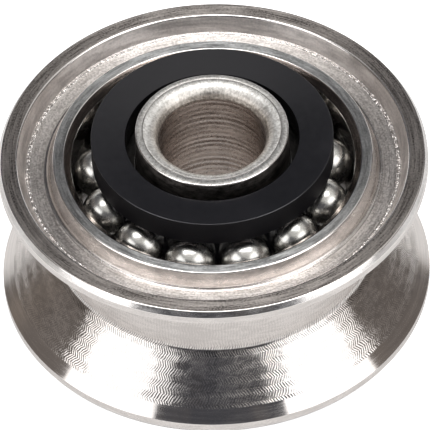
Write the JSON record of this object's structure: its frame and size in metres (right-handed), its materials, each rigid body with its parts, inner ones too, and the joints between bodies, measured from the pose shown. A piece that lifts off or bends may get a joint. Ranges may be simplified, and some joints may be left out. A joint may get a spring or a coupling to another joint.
{
  "type": "grooved track roller",
  "caption": "V-groove track roller: a grooved steel outer ring turning on two rows of angular contact balls in snap-in plastic cages, over a split inner ring with a plain through bore.",
  "frame": {"origin": "centre of the bore, halfway between the two side faces", "axes": "+Z along the bore axis, out of the upper side face; +X through the first ball of the upper row"},
  "size_m": [0.024, 0.024, 0.0142],
  "materials": {
    "ring_steel": "ground and fine turned bearing steel",
    "ball_steel": "polished bearing ball",
    "cage_plastic": "moulded matt black nylon"
  },
  "bodies": {
    "inner_ring": {"inner_ring_upper": "ring_steel", "inner_ring_lower": "ring_steel"},
    "outer_ring": {"outer_ring": "ring_steel"},
    "cage_upper": {"cage_upper": "cage_plastic"},
    "cage_lower": {"cage_lower": "cage_plastic"},
    "ball_upper_01": {"ball_upper_01": "ball_steel"},
    "ball_upper_02": {"ball_upper_02": "ball_steel"},
    "ball_upper_03": {"ball_upper_03": "ball_steel"},
    "ball_upper_04": {"ball_upper_04": "ball_steel"},
    "ball_upper_05": {"ball_upper_05": "ball_steel"},
    "ball_upper_06": {"ball_upper_06": "ball_steel"},
    "ball_upper_07": {"ball_upper_07": "ball_steel"},
    "ball_upper_08": {"ball_upper_08": "ball_steel"},
    "ball_upper_09": {"ball_upper_09": "ball_steel"},
    "ball_upper_10": {"ball_upper_10": "ball_steel"},
    "ball_upper_11": {"ball_upper_11": "ball_steel"},
    "ball_upper_12": {"ball_upper_12": "ball_steel"},
    "ball_upper_13": {"ball_upper_13": "ball_steel"},
    "ball_lower_01": {"ball_lower_01": "ball_steel"},
    "ball_lower_02": {"ball_lower_02": "ball_steel"},
    "ball_lower_03": {"ball_lower_03": "ball_steel"},
    "ball_lower_04": {"ball_lower_04": "ball_steel"},
    "ball_lower_05": {"ball_lower_05": "ball_steel"},
    "ball_lower_06": {"ball_lower_06": "ball_steel"},
    "ball_lower_07": {"ball_lower_07": "ball_steel"},
    "ball_lower_08": {"ball_lower_08": "ball_steel"},
    "ball_lower_09": {"ball_lower_09": "ball_steel"},
    "ball_lower_10": {"ball_lower_10": "ball_steel"},
    "ball_lower_11": {"ball_lower_11": "ball_steel"},
    "ball_lower_12": {"ball_lower_12": "ball_steel"},
    "ball_lower_13": {"ball_lower_13": "ball_steel"}
  },
  "joints": [
    {"name": "outer_ring_spin", "type": "hinge", "parent": "inner_ring", "child": "outer_ring", "pos_m": [0, 0, 0], "axis": [0, 0, 1], "continuous": true},
    {"name": "cage_upper_spin", "type": "hinge", "parent": "inner_ring", "child": "cage_upper", "pos_m": [0, 0, 0], "axis": [0, 0, 1], "continuous": true},
    {"name": "cage_lower_spin", "type": "hinge", "parent": "inner_ring", "child": "cage_lower", "pos_m": [0, 0, 0], "axis": [0, 0, 1], "continuous": true},
    {"name": "ball_upper_01_spin", "type": "hinge", "parent": "cage_upper", "child": "ball_upper_01", "pos_m": [0.00646, 0, 0.0031], "axis": [0.5, 0, 0.866], "continuous": true},
    {"name": "ball_upper_02_spin", "type": "hinge", "parent": "cage_upper", "child": "ball_upper_02", "pos_m": [0.00572, 0.003, 0.0031], "axis": [0.4427, 0.2324, 0.866], "continuous": true},
    {"name": "ball_upper_03_spin", "type": "hinge", "parent": "cage_upper", "child": "ball_upper_03", "pos_m": [0.00367, 0.00532, 0.0031], "axis": [0.284, 0.4115, 0.866], "continuous": true},
    {"name": "ball_upper_04_spin", "type": "hinge", "parent": "cage_upper", "child": "ball_upper_04", "pos_m": [0.00078, 0.00641, 0.0031], "axis": [0.0603, 0.4964, 0.866], "continuous": true},
    {"name": "ball_upper_05_spin", "type": "hinge", "parent": "cage_upper", "child": "ball_upper_05", "pos_m": [-0.00229, 0.00604, 0.0031], "axis": [-0.1773, 0.4675, 0.866], "continuous": true},
    {"name": "ball_upper_06_spin", "type": "hinge", "parent": "cage_upper", "child": "ball_upper_06", "pos_m": [-0.00484, 0.00428, 0.0031], "axis": [-0.3743, 0.3316, 0.866], "continuous": true},
    {"name": "ball_upper_07_spin", "type": "hinge", "parent": "cage_upper", "child": "ball_upper_07", "pos_m": [-0.00627, 0.00155, 0.0031], "axis": [-0.4855, 0.1197, 0.866], "continuous": true},
    {"name": "ball_upper_08_spin", "type": "hinge", "parent": "cage_upper", "child": "ball_upper_08", "pos_m": [-0.00627, -0.00155, 0.0031], "axis": [-0.4855, -0.1197, 0.866], "continuous": true},
    {"name": "ball_upper_09_spin", "type": "hinge", "parent": "cage_upper", "child": "ball_upper_09", "pos_m": [-0.00484, -0.00428, 0.0031], "axis": [-0.3743, -0.3316, 0.866], "continuous": true},
    {"name": "ball_upper_10_spin", "type": "hinge", "parent": "cage_upper", "child": "ball_upper_10", "pos_m": [-0.00229, -0.00604, 0.0031], "axis": [-0.1773, -0.4675, 0.866], "continuous": true},
    {"name": "ball_upper_11_spin", "type": "hinge", "parent": "cage_upper", "child": "ball_upper_11", "pos_m": [0.00078, -0.00641, 0.0031], "axis": [0.0603, -0.4964, 0.866], "continuous": true},
    {"name": "ball_upper_12_spin", "type": "hinge", "parent": "cage_upper", "child": "ball_upper_12", "pos_m": [0.00367, -0.00532, 0.0031], "axis": [0.284, -0.4115, 0.866], "continuous": true},
    {"name": "ball_upper_13_spin", "type": "hinge", "parent": "cage_upper", "child": "ball_upper_13", "pos_m": [0.00572, -0.003, 0.0031], "axis": [0.4427, -0.2324, 0.866], "continuous": true},
    {"name": "ball_lower_01_spin", "type": "hinge", "parent": "cage_lower", "child": "ball_lower_01", "pos_m": [0.00627, 0.00155, -0.0031], "axis": [-0.4855, -0.1197, 0.866], "continuous": true},
    {"name": "ball_lower_02_spin", "type": "hinge", "parent": "cage_lower", "child": "ball_lower_02", "pos_m": [0.00484, 0.00428, -0.0031], "axis": [-0.3743, -0.3316, 0.866], "continuous": true},
    {"name": "ball_lower_03_spin", "type": "hinge", "parent": "cage_lower", "child": "ball_lower_03", "pos_m": [0.00229, 0.00604, -0.0031], "axis": [-0.1773, -0.4675, 0.866], "continuous": true},
    {"name": "ball_lower_04_spin", "type": "hinge", "parent": "cage_lower", "child": "ball_lower_04", "pos_m": [-0.00078, 0.00641, -0.0031], "axis": [0.0603, -0.4964, 0.866], "continuous": true},
    {"name": "ball_lower_05_spin", "type": "hinge", "parent": "cage_lower", "child": "ball_lower_05", "pos_m": [-0.00367, 0.00532, -0.0031], "axis": [0.284, -0.4115, 0.866], "continuous": true},
    {"name": "ball_lower_06_spin", "type": "hinge", "parent": "cage_lower", "child": "ball_lower_06", "pos_m": [-0.00572, 0.003, -0.0031], "axis": [0.4427, -0.2324, 0.866], "continuous": true},
    {"name": "ball_lower_07_spin", "type": "hinge", "parent": "cage_lower", "child": "ball_lower_07", "pos_m": [-0.00646, 0, -0.0031], "axis": [0.5, 0, 0.866], "continuous": true},
    {"name": "ball_lower_08_spin", "type": "hinge", "parent": "cage_lower", "child": "ball_lower_08", "pos_m": [-0.00572, -0.003, -0.0031], "axis": [0.4427, 0.2324, 0.866], "continuous": true},
    {"name": "ball_lower_09_spin", "type": "hinge", "parent": "cage_lower", "child": "ball_lower_09", "pos_m": [-0.00367, -0.00532, -0.0031], "axis": [0.284, 0.4115, 0.866], "continuous": true},
    {"name": "ball_lower_10_spin", "type": "hinge", "parent": "cage_lower", "child": "ball_lower_10", "pos_m": [-0.00078, -0.00641, -0.0031], "axis": [0.0603, 0.4964, 0.866], "continuous": true},
    {"name": "ball_lower_11_spin", "type": "hinge", "parent": "cage_lower", "child": "ball_lower_11", "pos_m": [0.00229, -0.00604, -0.0031], "axis": [-0.1773, 0.4675, 0.866], "continuous": true},
    {"name": "ball_lower_12_spin", "type": "hinge", "parent": "cage_lower", "child": "ball_lower_12", "pos_m": [0.00484, -0.00428, -0.0031], "axis": [-0.3743, 0.3316, 0.866], "continuous": true},
    {"name": "ball_lower_13_spin", "type": "hinge", "parent": "cage_lower", "child": "ball_lower_13", "pos_m": [0.00627, -0.00155, -0.0031], "axis": [-0.4855, 0.1197, 0.866], "continuous": true}
  ],
  "couplings": [
    {"joint": "cage_upper_spin", "follows": "outer_ring_spin", "ratio": 0.5931},
    {"joint": "cage_lower_spin", "follows": "outer_ring_spin", "ratio": 0.5931},
    {"joint": "ball_upper_01_spin", "follows": "outer_ring_spin", "ratio": 2.2448},
    {"joint": "ball_upper_02_spin", "follows": "outer_ring_spin", "ratio": 2.2448},
    {"joint": "ball_upper_03_spin", "follows": "outer_ring_spin", "ratio": 2.2448},
    {"joint": "ball_upper_04_spin", "follows": "outer_ring_spin", "ratio": 2.2448},
    {"joint": "ball_upper_05_spin", "follows": "outer_ring_spin", "ratio": 2.2448},
    {"joint": "ball_upper_06_spin", "follows": "outer_ring_spin", "ratio": 2.2448},
    {"joint": "ball_upper_07_spin", "follows": "outer_ring_spin", "ratio": 2.2448},
    {"joint": "ball_upper_08_spin", "follows": "outer_ring_spin", "ratio": 2.2448},
    {"joint": "ball_upper_09_spin", "follows": "outer_ring_spin", "ratio": 2.2448},
    {"joint": "ball_upper_10_spin", "follows": "outer_ring_spin", "ratio": 2.2448},
    {"joint": "ball_upper_11_spin", "follows": "outer_ring_spin", "ratio": 2.2448},
    {"joint": "ball_upper_12_spin", "follows": "outer_ring_spin", "ratio": 2.2448},
    {"joint": "ball_upper_13_spin", "follows": "outer_ring_spin", "ratio": 2.2448},
    {"joint": "ball_lower_01_spin", "follows": "outer_ring_spin", "ratio": 2.2448},
    {"joint": "ball_lower_02_spin", "follows": "outer_ring_spin", "ratio": 2.2448},
    {"joint": "ball_lower_03_spin", "follows": "outer_ring_spin", "ratio": 2.2448},
    {"joint": "ball_lower_04_spin", "follows": "outer_ring_spin", "ratio": 2.2448},
    {"joint": "ball_lower_05_spin", "follows": "outer_ring_spin", "ratio": 2.2448},
    {"joint": "ball_lower_06_spin", "follows": "outer_ring_spin", "ratio": 2.2448},
    {"joint": "ball_lower_07_spin", "follows": "outer_ring_spin", "ratio": 2.2448},
    {"joint": "ball_lower_08_spin", "follows": "outer_ring_spin", "ratio": 2.2448},
    {"joint": "ball_lower_09_spin", "follows": "outer_ring_spin", "ratio": 2.2448},
    {"joint": "ball_lower_10_spin", "follows": "outer_ring_spin", "ratio": 2.2448},
    {"joint": "ball_lower_11_spin", "follows": "outer_ring_spin", "ratio": 2.2448},
    {"joint": "ball_lower_12_spin", "follows": "outer_ring_spin", "ratio": 2.2448},
    {"joint": "ball_lower_13_spin", "follows": "outer_ring_spin", "ratio": 2.2448}
  ]
}
